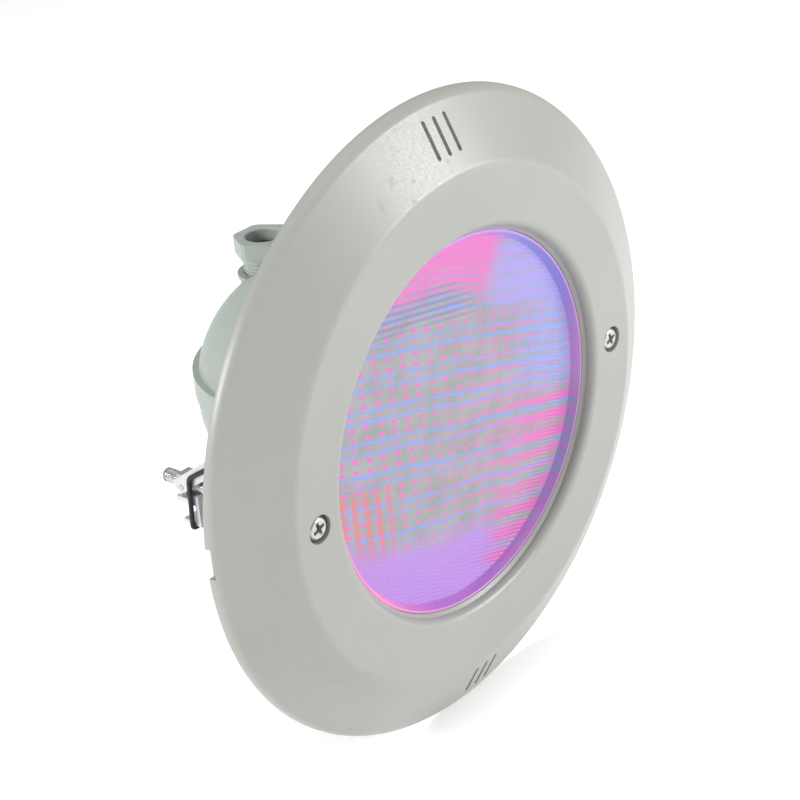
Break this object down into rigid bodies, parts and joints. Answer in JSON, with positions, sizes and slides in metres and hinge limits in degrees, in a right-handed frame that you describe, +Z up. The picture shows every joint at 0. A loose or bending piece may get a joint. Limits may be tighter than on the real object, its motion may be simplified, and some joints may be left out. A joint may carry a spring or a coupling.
{
  "type": "underwater pool light",
  "caption": "Flush round underwater pool light: conical plastic trim ring, lit prismatic lens, domed rear housing with a cable gland, and screw-drawn wall claws.",
  "frame": {"origin": "centre of the plane in which the trim ring's back rim meets the wall", "axes": "-Y is the way the light shines, +Y goes into the wall, +Z is up with the cable gland on top, +X is to the right seen from in front"},
  "size_m": [0.2796, 0.1403, 0.28],
  "materials": {
    "trim_plastic": "warm white UV-stable ABS, satin gloss",
    "housing_plastic": "pale grey-green ABS, fine moulded texture",
    "gland_plastic": "pale grey polyamide",
    "lamp_lens": "clear polycarbonate with moulded prisms, lit pink and blue from behind",
    "lamp_plastic": "white polycarbonate",
    "optic_plastic": "frosted diffuser",
    "board_white": "white solder mask on aluminium",
    "led_red": "red chip",
    "led_green": "green chip",
    "led_blue": "blue chip",
    "aluminium": "cast, lightly blasted",
    "board_green": "green solder mask",
    "component_dark": "moulded components",
    "brass": "machined",
    "lead_brown": "PVC insulation",
    "lead_blue": "PVC insulation",
    "stainless": "A4 stainless, turned",
    "claw_steel": "A4 stainless sheet, rolled",
    "black_rubber": "matte EPDM"
  },
  "bodies": {
    "light": {"trim_ring": "trim_plastic", "housing": "housing_plastic", "housing_seal": "black_rubber", "housing_screws": "stainless", "lamp_clamp_ring": "housing_plastic", "gland_body": "gland_plastic", "gland_seal": "black_rubber", "lamp_lens": "lamp_lens", "lamp_gasket": "black_rubber", "lamp_shell": "lamp_plastic", "optic_plate": "optic_plastic", "led_board": "board_white", "leds_red": "led_red", "leds_green": "led_green", "leds_blue": "led_blue", "heat_sink": "aluminium", "board_screws": "stainless", "driver_board": "board_green", "driver_spacers": "brass", "driver_parts": "component_dark", "terminal_posts": "brass", "terminal_screws": "brass", "lead_live": "lead_brown", "lead_neutral": "lead_blue"},
    "gland_follower": {"gland_washer": "gland_plastic"},
    "gland_cap": {"gland_nut": "gland_plastic"},
    "screw_left": {"fixing_screw_left": "stainless", "screw_clip_left": "stainless"},
    "claw_left": {"claw_nut_left": "stainless", "claw_hook_left": "claw_steel", "claw_band_left": "black_rubber"},
    "wing_left": {"claw_wing_left": "claw_steel"},
    "screw_right": {"fixing_screw_right": "stainless", "screw_clip_right": "stainless"},
    "claw_right": {"claw_nut_right": "stainless", "claw_hook_right": "claw_steel", "claw_band_right": "black_rubber"},
    "wing_right": {"claw_wing_right": "claw_steel"}
  },
  "joints": [
    {"name": "screw_turn_left", "type": "hinge", "parent": "light", "child": "screw_left", "pos_m": [-0.098, 0, 0], "axis": [0, 1, 0], "range_deg": [-2880, 9360]},
    {"name": "claw_travel_left", "type": "slide", "parent": "light", "child": "claw_left", "axis": [0, 1, 0], "range_m": [-0.026, 0.008]},
    {"name": "wing_swing_left", "type": "hinge", "parent": "claw_left", "child": "wing_left", "pos_m": [-0.098, 0.051, 0], "axis": [-1, 0, 0], "range_deg": [0, 45]},
    {"name": "screw_turn_right", "type": "hinge", "parent": "light", "child": "screw_right", "pos_m": [0.098, 0, 0], "axis": [0, 1, 0], "range_deg": [-2880, 9360]},
    {"name": "claw_travel_right", "type": "slide", "parent": "light", "child": "claw_right", "axis": [0, 1, 0], "range_m": [-0.026, 0.008]},
    {"name": "wing_swing_right", "type": "hinge", "parent": "claw_right", "child": "wing_right", "pos_m": [0.098, 0.051, 0], "axis": [-1, 0, 0], "range_deg": [0, 45]},
    {"name": "gland_travel", "type": "slide", "parent": "light", "child": "gland_follower", "axis": [0, 0, 1], "range_m": [0, 0.0045]},
    {"name": "gland_turn", "type": "hinge", "parent": "gland_follower", "child": "gland_cap", "pos_m": [0, 0.0932, 0.06], "axis": [0, 0, 1], "range_deg": [0, 1080]}
  ],
  "couplings": [
    {"joint": "screw_turn_left", "follows": "claw_travel_left", "rad_per_m": -6283.2},
    {"joint": "screw_turn_right", "follows": "claw_travel_right", "rad_per_m": -6283.2},
    {"joint": "gland_turn", "follows": "gland_travel", "rad_per_m": 4188.8}
  ]
}
